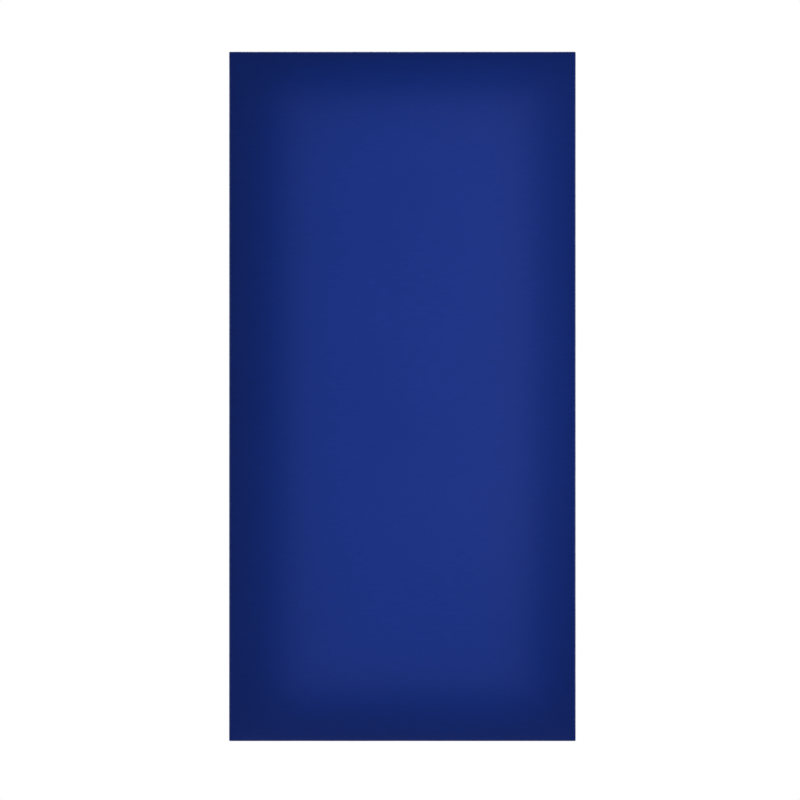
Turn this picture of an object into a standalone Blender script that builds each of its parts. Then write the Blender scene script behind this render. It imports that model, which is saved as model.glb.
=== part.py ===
"""Wall punch pad: a vinyl-covered foam pad on a board, hung on the wall by two pairs of hooked rails.

Metres. +Z is up, +Y points into the wall, and the struck face looks along -Y. The origin is on the
wall, behind the middle of the upper wall rail. Lifting the pad frees it from the wall rails.
"""

import math

import bmesh
import bpy
from mathutils import Matrix, Vector

# The whole pad
PAD_WIDTH = 0.613
PAD_HEIGHT = 1.219
TOP_ABOVE_ORIGIN = 0.120
GAP = 0.0003  # between faces that touch or are bonded

# The layers, from the wall outwards
BOARD_THICKNESS = 0.0111
FIRM_FOAM_THICKNESS = 0.0254
SOFT_FOAM_THICKNESS = 0.0254
COVER_THICKNESS = 0.0009

# The hooked rail, one extrusion used both ways up
RAIL_LENGTH = 0.500
RAIL_METAL = 0.0020
RAIL_PLAY = 0.0005  # on each side of a tongue in its channel
RAIL_BASE_HALF = 0.015
RAIL_TONGUE = 0.012  # above the web
RAIL_PITCH = 0.950  # from the upper pair to the lower
RAIL_HOLES = (-0.200, -0.070, 0.070, 0.200)  # along X
WALL_HOLE_RADIUS = 0.0028
WALL_COUNTERSINK = 0.0018  # how much wider the hole is at the front of the metal
PAD_HOLE_RADIUS = 0.0026

# The cover
CROWN = 0.0150  # how far the stretched cover pulls the face down at the rim
CROWN_REACH = 0.150  # from the rim to where the face is flat
CROWN_FADE = 2.4
EDGE_TUCK = 0.0035  # the foam's overhang, cover included, past the board's edge
HEM_WIDTH = 0.038
BACK_EDGE_RADIUS = 0.0025
SIDE_CORNER = 0.004

# The staples of the hem
STAPLE_CROWN = 0.011
STAPLE_LEG = 0.0090
STAPLE_THIN = 0.0007
STAPLE_WIDE = 0.0012
STAPLE_BEND = 0.0008
STAPLES_ACROSS = 7
STAPLES_UP = 15
STAPLE_SPAN_ACROSS = 0.510
STAPLE_SPAN_UP = 1.092

# The pan-head screws that hold the pad rails to the board
SCREW_HEAD_RADIUS = 0.0040
SCREW_HEAD_HEIGHT = 0.0024
SCREW_RADIUS = 0.0021
SCREW_LENGTH = 0.0127
SCREW_POINT = 0.0035
RECESS_HALF = 0.0019
RECESS_WIDTH = 0.0009
RECESS_DEPTH = 0.0014

# Depths are distances from the wall, so Y is minus the depth
STAND_OFF = 2 * RAIL_METAL + 3 * RAIL_PLAY
BOARD_BACK = STAND_OFF + GAP
BOARD_FRONT = BOARD_BACK + BOARD_THICKNESS
FIRM_BACK = BOARD_FRONT + GAP
FIRM_FRONT = FIRM_BACK + FIRM_FOAM_THICKNESS
SOFT_BACK = FIRM_FRONT + GAP
SOFT_FRONT = SOFT_BACK + SOFT_FOAM_THICKNESS
PAD_FRONT = SOFT_FRONT + GAP + COVER_THICKNESS
HEM_BACK = BOARD_BACK - GAP - COVER_THICKNESS
CENTRE_Z = TOP_ABOVE_ORIGIN - PAD_HEIGHT / 2
CHANNEL = RAIL_METAL + 2 * RAIL_PLAY
HOOK_Z = 2 * RAIL_BASE_HALF + 2 * RAIL_METAL + RAIL_TONGUE + GAP  # a pad rail's base above its wall rail's
ROUND_SIDES = 16


# Materials and objects

def material(name, colour, roughness, metallic=0.0):
    made = bpy.data.materials.new(name)
    made.use_nodes = True
    shader = made.node_tree.nodes["Principled BSDF"]
    shader.inputs["Base Color"].default_value = (*colour, 1.0)
    shader.inputs["Roughness"].default_value = roughness
    shader.inputs["Metallic"].default_value = metallic
    return made


def make_object(name, mesh, finish, parent=None, smooth_degrees=None):
    if smooth_degrees:
        mesh.shade_smooth()
        mesh.set_sharp_from_angle(angle=math.radians(smooth_degrees))
    if finish and not mesh.materials:
        mesh.materials.append(finish)
    obj = bpy.data.objects.new(name, mesh)
    bpy.context.scene.collection.objects.link(obj)
    obj.parent = parent
    return obj


def mesh_from(name, build):
    """A mesh that build(bm) fills, with its faces turned outwards."""
    bm = bmesh.new()
    build(bm)
    bmesh.ops.recalc_face_normals(bm, faces=bm.faces)
    mesh = bpy.data.meshes.new(name)
    bm.to_mesh(mesh)
    bm.free()
    return mesh


def cut(obj, cutter):
    """Subtracts a helper mesh, which is left out of the part."""
    cutter.hide_render = True
    cutter.display_type = "WIRE"
    boolean = obj.modifiers.new("cut_" + cutter.name, "BOOLEAN")
    boolean.operation = "DIFFERENCE"
    boolean.object = cutter


# The pad's outline, as rings round its middle

def cover_profile():
    """The cover's outer face from the hem's free edge to the crown: (inset, depth, corner radius)."""
    board_side = EDGE_TUCK - GAP - COVER_THICKNESS
    bend = BACK_EDGE_RADIUS
    points = [(EDGE_TUCK + HEM_WIDTH, HEM_BACK, 0.002)]
    for step in range(4):
        turn = math.radians(30 * step)
        inset = board_side + bend * (1 - math.sin(turn))
        points.append((inset, HEM_BACK + bend * (1 - math.cos(turn)), SIDE_CORNER))
    foam_depth = PAD_FRONT - FIRM_BACK
    points += [
        (board_side, BOARD_FRONT, SIDE_CORNER),
        (0.0006, FIRM_BACK + 0.14 * foam_depth, SIDE_CORNER),
        (0.0, FIRM_BACK + 0.30 * foam_depth, SIDE_CORNER),
        (0.0007, FIRM_BACK + 0.45 * foam_depth, SIDE_CORNER),
    ]
    rim = PAD_FRONT - CROWN
    points += [
        (0.0018, rim - 0.0078, SIDE_CORNER),
        (0.0034, rim - 0.0038, 0.0045),
        (0.0064, rim - 0.0008, 0.0055),
    ]
    for inset, radius in ((0.012, 0.008), (0.025, 0.014), (0.042, 0.022), (0.065, 0.033), (0.095, 0.045)):
        points.append((inset, PAD_FRONT - CROWN * (1 - inset / CROWN_REACH) ** CROWN_FADE, radius))
    points.append((CROWN_REACH, PAD_FRONT, 0.060))
    return points


def inwards(points, distance):
    """The profile moved that far into the pad, each corner on its mitre."""
    moved = []
    for i, (inset, depth, radius) in enumerate(points):
        here = Vector((inset, depth))
        normals = []
        for a, b in ((i - 1, i), (i, i + 1)):
            if a >= 0 and b < len(points):
                along = (Vector(points[b][:2]) - Vector(points[a][:2])).normalized()
                normals.append(Vector((along.y, -along.x)))
        middle = sum(normals, Vector((0, 0))).normalized()
        here += middle * distance / middle.dot(normals[0])
        moved.append((here.x, here.y, max(radius - distance, 0.0015)))
    return moved


def slice_between(points, back, front):
    """The part of a profile between two depths, with a point on each."""
    kept = [point for point in points if back - 1e-6 <= point[1] <= front + 1e-6]
    for a, b in zip(points, points[1:]):
        for depth in (back, front):
            if (a[1] - depth) * (b[1] - depth) < 0 and min(abs(a[1] - depth), abs(b[1] - depth)) > 1e-6:
                share = (depth - a[1]) / (b[1] - a[1])
                kept.append(tuple(p + share * (q - p) for p, q in zip(a, b)))
    return sorted(kept, key=lambda point: (point[1], point[0]))


def ring_of(bm, inset, depth, radius, corner_steps=3):
    """Vertices round a rounded rectangle about the pad's middle."""
    half_x = PAD_WIDTH / 2 - inset - radius
    half_z = PAD_HEIGHT / 2 - inset - radius
    ring = []
    for quarter, (side_x, side_z) in enumerate(((1, 1), (-1, 1), (-1, -1), (1, -1))):
        for step in range(corner_steps + 1):
            turn = math.radians(90 * quarter + 90 * step / corner_steps)
            x = side_x * half_x + radius * math.cos(turn)
            z = side_z * half_z + radius * math.sin(turn)
            ring.append(bm.verts.new((x, -depth, CENTRE_Z + z)))
    return ring


def bridge(bm, one, other):
    for i in range(len(one)):
        j = (i + 1) % len(one)
        bm.faces.new((one[i], one[j], other[j], other[i]))


def stack(bm, profile):
    """A solid between the profile's first ring and its last."""
    rings = [ring_of(bm, *point) for point in profile]
    for one, other in zip(rings, rings[1:]):
        bridge(bm, one, other)
    bm.faces.new(rings[0])
    bm.faces.new(rings[-1])


def shell(bm, outer, inner):
    """A skin between two profiles, closed along the hem's free edge and open inside the hem."""
    outside = [ring_of(bm, *point) for point in outer]
    inside = [ring_of(bm, *point) for point in inner]
    for rings in (outside, inside):
        for one, other in zip(rings, rings[1:]):
            bridge(bm, one, other)
        bm.faces.new(rings[-1])
    bridge(bm, outside[0], inside[0])


# Boxes and turned pieces

def add_box(bm, low, high):
    size = Vector(high) - Vector(low)
    place = Matrix.Translation((Vector(high) + Vector(low)) / 2) @ Matrix.Diagonal((*size, 1))
    bmesh.ops.create_cube(bm, size=1, matrix=place)


def turn_profile(bm, profile, sides=ROUND_SIDES):
    """Turns (radius, y) points about Y. The first and last lie on the axis."""
    rings = []
    for radius, y in profile[1:-1]:
        angles = [2 * math.pi * k / sides for k in range(sides)]
        rings.append([bm.verts.new((radius * math.cos(t), y, radius * math.sin(t))) for t in angles])
    for one, other in zip(rings, rings[1:]):
        bridge(bm, one, other)
    for ring, (_, y) in ((rings[0], profile[0]), (rings[-1], profile[-1])):
        tip = bm.verts.new((0, y, 0))
        for i in range(sides):
            bm.faces.new((ring[i], ring[(i + 1) % sides], tip))


def rounded(corners, steps=3):
    """A polygon whose (x, y, radius) corners become arcs."""
    outline = []
    for i, (x, y, radius) in enumerate(corners):
        here = Vector((x, y))
        before = (Vector(corners[i - 1][:2]) - here).normalized()
        after = (Vector(corners[(i + 1) % len(corners)][:2]) - here).normalized()
        start, end = here + before * radius, here + after * radius
        centre = here + (before + after) * radius
        for step in range(steps + 1):
            turn = math.pi / 2 * step / steps
            outline.append(centre + (start - centre) * math.cos(turn) + (end - centre) * math.sin(turn))
    return outline


# The rails

def rail_section():
    """The hooked rail's section as (y, z), base flange on the wall, tongue up and clear of it."""
    base, tongue_back = RAIL_METAL, CHANNEL
    tongue_front = CHANNEL + RAIL_METAL
    web, top = RAIL_BASE_HALF, RAIL_BASE_HALF + RAIL_METAL + RAIL_TONGUE
    return rounded([
        (0, -web, 0.0003),
        (0, web + RAIL_METAL, 0.0010),
        (-tongue_back, web + RAIL_METAL, 0.0003),
        (-tongue_back, top, 0.0006),
        (-tongue_front, top, 0.0006),
        (-tongue_front, web, 0.0010),
        (-base, web, 0.0008),
        (-base, -web, 0.0003),
    ])


def rail_mesh():
    def build(bm):
        ends = []
        for x in (-RAIL_LENGTH / 2, RAIL_LENGTH / 2):
            ends.append([bm.verts.new((x, p.x, p.y)) for p in rail_section()])
            bm.faces.new(ends[-1])
        bridge(bm, *ends)
    return mesh_from("rail", build)


def hole_cutters(name, radius, wider, parent):
    """One helper with a turned cutter for each hole, wider by the metal's front face."""
    front = RAIL_METAL + 0.001
    flare = wider / RAIL_METAL
    profile = [(0, 0.001), (radius, 0.001), (radius, 0), (radius + flare * front, -front), (0, -front)]

    def build(bm):
        for x in RAIL_HOLES:
            before = set(bm.verts)
            turn_profile(bm, profile)
            bmesh.ops.translate(bm, verts=[v for v in bm.verts if v not in before], vec=(x, 0, 0))
    return make_object(name, mesh_from(name, build), None, parent)


def frame_empty(name, location, turn_x=0.0, parent=None):
    empty = bpy.data.objects.new(name, None)
    bpy.context.scene.collection.objects.link(empty)
    empty.location = location
    empty.rotation_euler = (turn_x, 0, 0)
    empty.parent = parent
    return empty


def add_rails(wall, pad, aluminium):
    for level, z in (("upper", 0.0), ("lower", -RAIL_PITCH)):
        wall_place = frame_empty(level + "_wall_rail_place", (0, 0, z), 0.0, wall)
        wall_rail = make_object(level + "_wall_rail", rail_mesh(), aluminium, wall_place, 40)
        cut(wall_rail, hole_cutters(level + "_wall_holes", WALL_HOLE_RADIUS, WALL_COUNTERSINK, wall_place))
        pad_place = frame_empty(level + "_pad_rail_place", (0, -STAND_OFF, z + HOOK_Z), math.pi, pad)
        pad_rail = make_object(level + "_pad_rail", rail_mesh(), aluminium, pad_place, 40)
        cut(pad_rail, hole_cutters(level + "_pad_holes", PAD_HOLE_RADIUS, 0.0, pad_place))


# The screws through the pad rails

def screw_mesh():
    """A pan-head screw pointing along -Y, its head's underside at y = 0."""
    head = [(SCREW_HEAD_RADIUS * math.cos(t), SCREW_HEAD_HEIGHT * (0.35 + 0.65 * math.sin(t)))
            for t in (math.radians(30 * k) for k in range(3))]
    shank_end = -(SCREW_LENGTH - SCREW_POINT)
    profile = [(0, -SCREW_LENGTH), (SCREW_RADIUS, shank_end), (SCREW_RADIUS, 0),
               (SCREW_HEAD_RADIUS, 0), *head, (0, SCREW_HEAD_HEIGHT)]
    return mesh_from("rail_screw", lambda bm: turn_profile(bm, profile))


def recess_cutter():
    """The cross recess of a screw head, as one cross-shaped helper."""
    bottom, top = SCREW_HEAD_HEIGHT - RECESS_DEPTH, SCREW_HEAD_HEIGHT + 0.001
    arm, half = RECESS_HALF, RECESS_WIDTH / 2
    quarter = [(arm, -half), (arm, half), (half, half)]

    def build(bm):
        outline = []
        for k in range(4):
            c, s = round(math.cos(math.pi / 2 * k)), round(math.sin(math.pi / 2 * k))
            outline += [(x * c - z * s, x * s + z * c) for x, z in quarter]
        ends = []
        for y in (bottom, top):
            ends.append([bm.verts.new((x, y, z)) for x, z in outline])
            bm.faces.new(ends[-1])
        bridge(bm, *ends)
    return mesh_from("recess", build)


def screw_places():
    """Where each pad rail's screws stand, by level and number, as the underside of the head."""
    head_depth = STAND_OFF - RAIL_METAL - GAP
    for level, z in (("upper", 0.0), ("lower", -RAIL_PITCH)):
        for number, x in enumerate(RAIL_HOLES, 1):
            yield f"{level}_rail_screw_{number}", Vector((x, -head_depth, z + HOOK_Z))


def add_screws(pad, steel):
    mesh, recess = screw_mesh(), recess_cutter()
    for name, place in screw_places():
        screw = make_object(name, mesh, steel, pad, 40)
        screw.location = place
        cutter = make_object(name + "_recess", recess, None, pad)
        cutter.location = place
        cut(screw, cutter)


# The staples of the hem

def staple_places():
    """(name, middle of the crown's underside, turn about Y) for each staple round the hem."""
    middle_of_hem = EDGE_TUCK + HEM_WIDTH / 2
    depth = HEM_BACK - GAP
    for side, sign in (("top", 1), ("bottom", -1)):
        z = CENTRE_Z + sign * (PAD_HEIGHT / 2 - middle_of_hem)
        for k in range(STAPLES_ACROSS):
            x = STAPLE_SPAN_ACROSS * (k / (STAPLES_ACROSS - 1) - 0.5)
            yield f"staple_{side}_{k + 1:02d}", Vector((x, -depth, z)), 0.0
    for side, sign in (("left", -1), ("right", 1)):
        x = sign * (PAD_WIDTH / 2 - middle_of_hem)
        for k in range(STAPLES_UP):
            z = CENTRE_Z + STAPLE_SPAN_UP * (0.5 - k / (STAPLES_UP - 1))
            yield f"staple_{side}_{k + 1:02d}", Vector((x, -depth, z)), math.pi / 2


def staple_mesh():
    """One flat wire bent to a U in the XY plane, legs along -Y, with chisel ends."""
    half, thin, wide = STAPLE_CROWN / 2, STAPLE_THIN, STAPLE_WIDE / 2
    bend = STAPLE_BEND
    outer = [(half, -STAPLE_LEG), (half, thin - bend), (half - bend, thin)]
    inner = [(half - thin, thin - STAPLE_LEG), (half - thin, -bend / 3), (half - thin - bend / 3, 0)]
    outline = outer + [(-x, y) for x, y in reversed(outer)]
    outline += [(-x, y) for x, y in inner] + list(reversed(inner))

    def build(bm):
        faces = []
        for z in (-wide, wide):
            faces.append([bm.verts.new((x, y, z)) for x, y in outline])
            bm.faces.new(faces[-1])
        bridge(bm, *faces)
    return mesh_from("staple", build)


def leg_cutters(pad):
    """Slots for every staple leg, as one helper, through the hem and blind in the board."""
    back, front = 0.001, -STAPLE_LEG - GAP
    side, wide = STAPLE_THIN / 2 + GAP, STAPLE_WIDE / 2 + GAP
    leg = STAPLE_CROWN / 2 - STAPLE_THIN / 2

    def build(bm):
        for _, place, turn in staple_places():
            for x in (-leg, leg):
                before = set(bm.verts)
                add_box(bm, (x - side, front, -wide), (x + side, back, wide))
                spot = Matrix.Translation(place) @ Matrix.Rotation(turn, 4, "Y")
                bmesh.ops.transform(bm, verts=[v for v in bm.verts if v not in before], matrix=spot)
    return make_object("leg_cutters", mesh_from("leg_cutters", build), None, pad)


def add_staples(pad, steel):
    mesh = staple_mesh()
    for name, place, turn in staple_places():
        staple = make_object(name, mesh, steel, pad)
        staple.location = place
        staple.rotation_euler = (0, turn, 0)


# The board, the foam and the cover

def pilot_cutters(pad):
    """Blind holes in the board for the rail screws, as one helper."""
    radius = SCREW_RADIUS + GAP
    end = -(SCREW_LENGTH + GAP)
    profile = [(0, 0.002), (radius, 0.002), (radius, end + SCREW_POINT - GAP), (GAP, end), (0, end)]

    def build(bm):
        for _, place in screw_places():
            before = set(bm.verts)
            turn_profile(bm, profile)
            bmesh.ops.translate(bm, verts=[v for v in bm.verts if v not in before], vec=place)
    return make_object("pilot_cutters", mesh_from("pilot_cutters", build), None, pad)


def add_layers(pad, finishes):
    outer = cover_profile()
    inner = inwards(outer, COVER_THICKNESS)
    filling = inwards(outer, COVER_THICKNESS + GAP)
    legs = leg_cutters(pad)

    board_rings = slice_between(filling[1:], BOARD_BACK, BOARD_FRONT)
    board = make_object("backing_board", mesh_from("board", lambda bm: stack(bm, board_rings)),
                        finishes["board"], pad)
    cut(board, legs)
    cut(board, pilot_cutters(pad))

    firm_rings = slice_between(filling, FIRM_BACK, FIRM_FRONT)
    make_object("firm_foam_layer", mesh_from("firm_foam", lambda bm: stack(bm, firm_rings)),
                finishes["firm_foam"], pad)
    soft_rings = slice_between(filling, SOFT_BACK, PAD_FRONT)
    make_object("soft_foam_layer", mesh_from("soft_foam", lambda bm: stack(bm, soft_rings)),
                finishes["soft_foam"], pad, 40)
    cover = make_object("vinyl_cover", mesh_from("cover", lambda bm: shell(bm, outer, inner)),
                        finishes["vinyl"], pad, 40)
    cut(cover, legs)


def main():
    for obj in list(bpy.data.objects):
        bpy.data.objects.remove(obj)
    finishes = {
        "vinyl": material("blue_vinyl", (0.012, 0.033, 0.22), 0.45),
        "soft_foam": material("soft_foam", (0.75, 0.72, 0.62), 0.95),
        "firm_foam": material("firm_foam", (0.16, 0.16, 0.17), 0.90),
        "board": material("strand_board", (0.52, 0.36, 0.19), 0.75),
        "aluminium": material("mill_aluminium", (0.80, 0.81, 0.82), 0.35, 1.0),
        "steel": material("zinc_plated_steel", (0.70, 0.71, 0.72), 0.30, 1.0),
    }
    wall = frame_empty("wall", (0, 0, 0))
    pad = frame_empty("pad", (0, 0, 0))
    add_rails(wall, pad, finishes["aluminium"])
    add_screws(pad, finishes["steel"])
    add_staples(pad, finishes["steel"])
    add_layers(pad, finishes)


main()
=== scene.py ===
"""Wall punch pad: a stretched vinyl cover over foam on a strand board, hung on hooked aluminium rails.

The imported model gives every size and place. X runs across the pad, +Y points into the wall, Z is up,
and depths are distances from the wall, so a point's Y is minus its depth.
"""

import math

import bpy
from bpy.props import FloatProperty, FloatVectorProperty, PointerProperty
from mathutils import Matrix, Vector, noise


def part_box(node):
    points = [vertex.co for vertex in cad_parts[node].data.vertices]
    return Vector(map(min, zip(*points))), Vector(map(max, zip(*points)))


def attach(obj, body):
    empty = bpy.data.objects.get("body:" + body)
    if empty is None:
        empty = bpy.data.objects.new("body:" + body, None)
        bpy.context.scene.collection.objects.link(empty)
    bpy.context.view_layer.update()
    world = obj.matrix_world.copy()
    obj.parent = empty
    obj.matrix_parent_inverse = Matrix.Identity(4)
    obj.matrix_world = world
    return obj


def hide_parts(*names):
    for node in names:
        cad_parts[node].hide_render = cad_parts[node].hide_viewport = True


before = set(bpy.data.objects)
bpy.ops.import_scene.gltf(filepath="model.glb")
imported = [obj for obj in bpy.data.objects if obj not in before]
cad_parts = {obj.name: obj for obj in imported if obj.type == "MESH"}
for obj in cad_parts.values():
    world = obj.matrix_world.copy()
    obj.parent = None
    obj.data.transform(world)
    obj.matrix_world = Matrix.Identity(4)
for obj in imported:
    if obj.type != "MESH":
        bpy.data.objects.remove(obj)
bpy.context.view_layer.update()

bl_info = {
    "name": "Wall Punch Pad",
    "version": (1, 0, 0),
    "blender": (4, 5, 0),
    "location": "View3D > Sidebar > Punch Pad",
    "description": "Dresses the packed wall punch pad: cover, foam, board, staples, rails and stage",
    "category": "Object",
}

MM = 0.001


def linear(hex_colour):
    """An sRGB hex colour as linear red, green and blue."""
    channels = [int(hex_colour[i:i + 2], 16) / 255 for i in (1, 3, 5)]
    return [c / 12.92 if c <= 0.04045 else ((c + 0.055) / 1.055) ** 2.4 for c in channels]


def length(name, description, millimetres):
    return FloatProperty(name=name, description=description, default=millimetres * MM, min=0,
                         subtype="DISTANCE", unit="LENGTH")


def colour(name, description, hex_colour):
    return FloatVectorProperty(name=name, description=description, default=linear(hex_colour),
                               subtype="COLOR", min=0, max=1)


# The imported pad's own measures

COVER_LOW, COVER_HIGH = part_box("vinyl_cover")
BOARD_LOW, BOARD_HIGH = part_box("backing_board")
FIRM_LOW, FIRM_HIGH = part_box("firm_foam_layer")
SOFT_LOW, SOFT_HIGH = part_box("soft_foam_layer")
HALF_WIDTH = (COVER_HIGH.x - COVER_LOW.x) / 2
HALF_HEIGHT = (COVER_HIGH.z - COVER_LOW.z) / 2
CENTRE_Z = (COVER_HIGH.z + COVER_LOW.z) / 2
PAD_FRONT = -COVER_LOW.y
HEM_BACK = -COVER_HIGH.y
BOARD_FRONT = -BOARD_LOW.y
SOFT_BACK = -SOFT_HIGH.y
FIRM_BACK = -FIRM_HIGH.y


def staples_along(side):
    """The CAD staples' places along one side of the hem, in order."""
    axis = "x" if side in ("top", "bottom") else "z"
    boxes = [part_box(name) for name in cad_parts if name.startswith(f"staple_{side}_")]
    return sorted((getattr(low, axis) + getattr(high, axis)) / 2 for low, high in boxes)


STAPLE_X = staples_along("top")
STAPLE_Z = staples_along("left")
PITCH_X = (STAPLE_X[-1] - STAPLE_X[0]) / (len(STAPLE_X) - 1) / 2  # with one more between each two
PITCH_Z = (STAPLE_Z[-1] - STAPLE_Z[0]) / (len(STAPLE_Z) - 1) / 2
STAPLE_LOW, STAPLE_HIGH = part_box("staple_top_01")
STAPLE_LINE = HALF_HEIGHT - (STAPLE_LOW.z + STAPLE_HIGH.z) / 2 + CENTRE_Z  # from the outline to the staples

# The cover's and the foam's finer shape; an inset is a distance in from the pad's outline

RIM_STEPS = [step * MM for step in (3.0, 6.5, 12, 20, 31, 45)]  # insets of the face's outer rows
RIM_ROLL = 2.2 * MM  # how much further the face drops over its last stretch
RIM_ROLL_REACH = 12 * MM
EDGE_ROLL = [(1.2 * MM, 3.4 * MM), (0.3 * MM, 5.2 * MM)]  # (inset, distance behind the rim) of each row
COVER_CELL = 13 * MM  # largest gap between the rows of the face's mesh
FOAM_CELL = 30 * MM
FOAM_GAP = 0.9 * MM  # between the cover and the foam
GLUE_GAP = 0.3 * MM
CORNER_CREASE = 0.7
COVER_ANGLE = math.radians(50)  # edges sharper than this stay sharp
BLOCK_ANGLE = math.radians(40)

HEM_TOP = 0.12 * MM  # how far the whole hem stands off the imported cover's back
HEM_STRAY = 1.6 * MM  # how far its cut edge strays from a straight line
SIDE_PULL = 0.35 * MM  # how far the staples pull the sides in
SIDE_PULL_REACH = 11 * MM
SIDE_RIPPLE = 0.08 * MM

CLOTH_FRAMES = 10
HOLD_STAPLE, HOLD_HEM, HOLD_BOARD, HOLD_SIDE, HOLD_FACE = 1.0, 0.40, 0.60, 0.80, 0.95
BOARD_HOLD_DEPTH = 25 * MM  # up to this depth the cover clings to the board and the foam's back edge

FOLD_INSET = 2.6 * MM  # from the pad's side to a corner flap's outer edge
FOLD_REACH = 44 * MM  # how far the flap runs in from there at its widest
FOLD_THICKNESS = 1.35 * MM
FOLD_LIFT = 1.2 * MM  # how far off the cover the flap is drawn before it is wrapped on to it
FOLD_DIVE = 0.5 * MM  # how far its thin edges dive into the cover

STAPLE_LEG = 8 * MM
STAPLE_RISE = 0.15 * MM  # of the crown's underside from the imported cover's back
STAPLE_LEAN = 0.16  # radians, at most, from the line of the hem
STAPLE_DRIFT = 1.5 * MM


class PadSizes(bpy.types.PropertyGroup):
    crown: length("Crown", "How far the stretched cover pulls the face down at the rim", 15.0)
    crown_reach: length("Crown reach", "From the rim to where the face is flat", 150.0)
    cover_thickness: length("Cover", "Thickness of the vinyl-coated cloth", 0.9)
    hem_width: length("Hem", "Width of the hem on the back of the board", 38.0)
    pucker: length("Pucker", "How far the hem stands up between two staples", 0.8)
    softness: length("Softness", "Height of the slow waves of the foam under the face", 0.25)
    wire_thin: length("Wire thickness", "Staple wire, across the crown", 0.7)
    wire_wide: length("Wire width", "Staple wire, along the hem", 1.2)
    crown_width: length("Staple width", "Width of a staple's crown", 11.0)
    strand_length: length("Strand length", "Mean length of a flake of the board", 105.0)
    strand_width: length("Strand width", "Mean width of a flake of the board", 23.0)


class PadColours(bpy.types.PropertyGroup):
    vinyl: colour("Vinyl", "Pigmented PVC of the cover", "#083295")
    scrim: colour("Scrim", "Woven polyester back of the vinyl", "#D8D4C8")
    soft_foam: colour("Soft foam", "Open-cell polyurethane foam", "#E6DDBE")
    firm_foam: colour("Firm foam", "Closed-cell polyethylene foam", "#3B3C40")
    strand_light: colour("Light strand", "Palest strands of the board", "#E3C48F")
    strand_dark: colour("Dark strand", "Darkest strands of the board", "#8F6234")
    aluminium: colour("Aluminium", "Mill-finish aluminium of the rails", "#C6C8CA")
    zinc: colour("Zinc", "Zinc plate of the staples and screws", "#BFC4C8")


class StageSettings(bpy.types.PropertyGroup):
    lens: FloatProperty(name="Lens", description="Focal length", default=300.0, subtype="DISTANCE_CAMERA")
    surround: FloatProperty(name="Surround", description="Brightness of the room's light", default=0.33)
    soft_box: FloatProperty(name="Soft box", description="Brightness of the light close before the face",
                            default=0.41)
    key: FloatProperty(name="Key", description="Brightness of the light before the upper right",
                       default=0.65)


# Materials

def add(tree, kind, inputs=(), stops=(), **settings):
    """Adds a shader node. An input is a value or the socket that feeds it; stops fill a colour ramp."""
    made = tree.nodes.new("ShaderNode" + kind)
    for name, value in settings.items():
        setattr(made, name, value)
    for place, (position, shade) in enumerate(stops):
        elements = made.color_ramp.elements
        stop = elements[place] if place < 2 else elements.new(position)
        stop.position, stop.color = position, (*shade, 1)
    for key, value in dict(inputs).items():
        if isinstance(value, bpy.types.NodeSocket):
            tree.links.new(value, made.inputs[key])
        else:
            made.inputs[key].default_value = value
    return made


def new_material(name, base, roughness, metallic=0.0, specular=0.5):
    """A Principled material with its constants on the shader's own sockets: (material, tree, shader)."""
    made = bpy.data.materials.new(name)
    made.use_nodes = True
    shader = made.node_tree.nodes["Principled BSDF"]
    shader.inputs["Base Color"].default_value = (*base, 1)
    shader.inputs["Roughness"].default_value = roughness
    shader.inputs["Metallic"].default_value = metallic
    shader.inputs["Specular IOR Level"].default_value = specular
    return made, made.node_tree, shader


def calendered_vinyl(colours):
    """PVC-coated cloth, calendered and embossed: an even, low gloss broken up by a fine skin grain."""
    made, tree, shader = new_material("calendered_vinyl", colours.vinyl, 0.43, specular=0.25)
    place = add(tree, "TexCoord").outputs["Object"]
    # Real embossing is about 0.8 mm from pit to pit; 1.6 mm is the finest that still shows
    grain = add(tree, "TexVoronoi", {"Vector": place, "Scale": 1 / (1.6 * MM)}, feature="SMOOTH_F1")
    wide = add(tree, "Mapping", {"Vector": place, "Scale": (0.22, 0.22, 1.0)})
    # The cloth's weft, drawn at 5 mm so that it shows, runs across the pad
    weft = add(tree, "TexNoise", {"Vector": wide.outputs["Vector"], "Scale": 1 / (5.0 * MM), "Detail": 1.0})
    cloud = add(tree, "TexNoise", {"Vector": place, "Scale": 1 / (220 * MM), "Detail": 2.0})
    tint = add(tree, "Math", {0: weft.outputs["Fac"], 1: 0.16}, operation="MULTIPLY")
    tint = add(tree, "Math", {0: cloud.outputs["Fac"], 1: 0.10, 2: tint.outputs[0]},
               operation="MULTIPLY_ADD")
    tint = add(tree, "Math", {0: tint.outputs[0], 1: 0.87}, operation="ADD")
    base = add(tree, "VectorMath", {0: (*colours.vinyl,), "Scale": tint.outputs[0]}, operation="SCALE")
    gloss = add(tree, "MapRange", {"Value": cloud.outputs["Fac"], "To Min": 0.38, "To Max": 0.50})
    height = add(tree, "Math", {0: weft.outputs["Fac"], 1: 0.5, 2: grain.outputs["Distance"]},
                 operation="MULTIPLY_ADD")
    bump = add(tree, "Bump", {"Height": height.outputs[0], "Strength": 0.6, "Distance": 0.5 * MM})
    tree.links.new(base.outputs["Vector"], shader.inputs["Base Color"])
    tree.links.new(gloss.outputs["Result"], shader.inputs["Roughness"])
    tree.links.new(bump.outputs["Normal"], shader.inputs["Normal"])
    return made


WAVE_RADIANS = 20  # that a wave texture turns through in one unit of its coordinates


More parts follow.
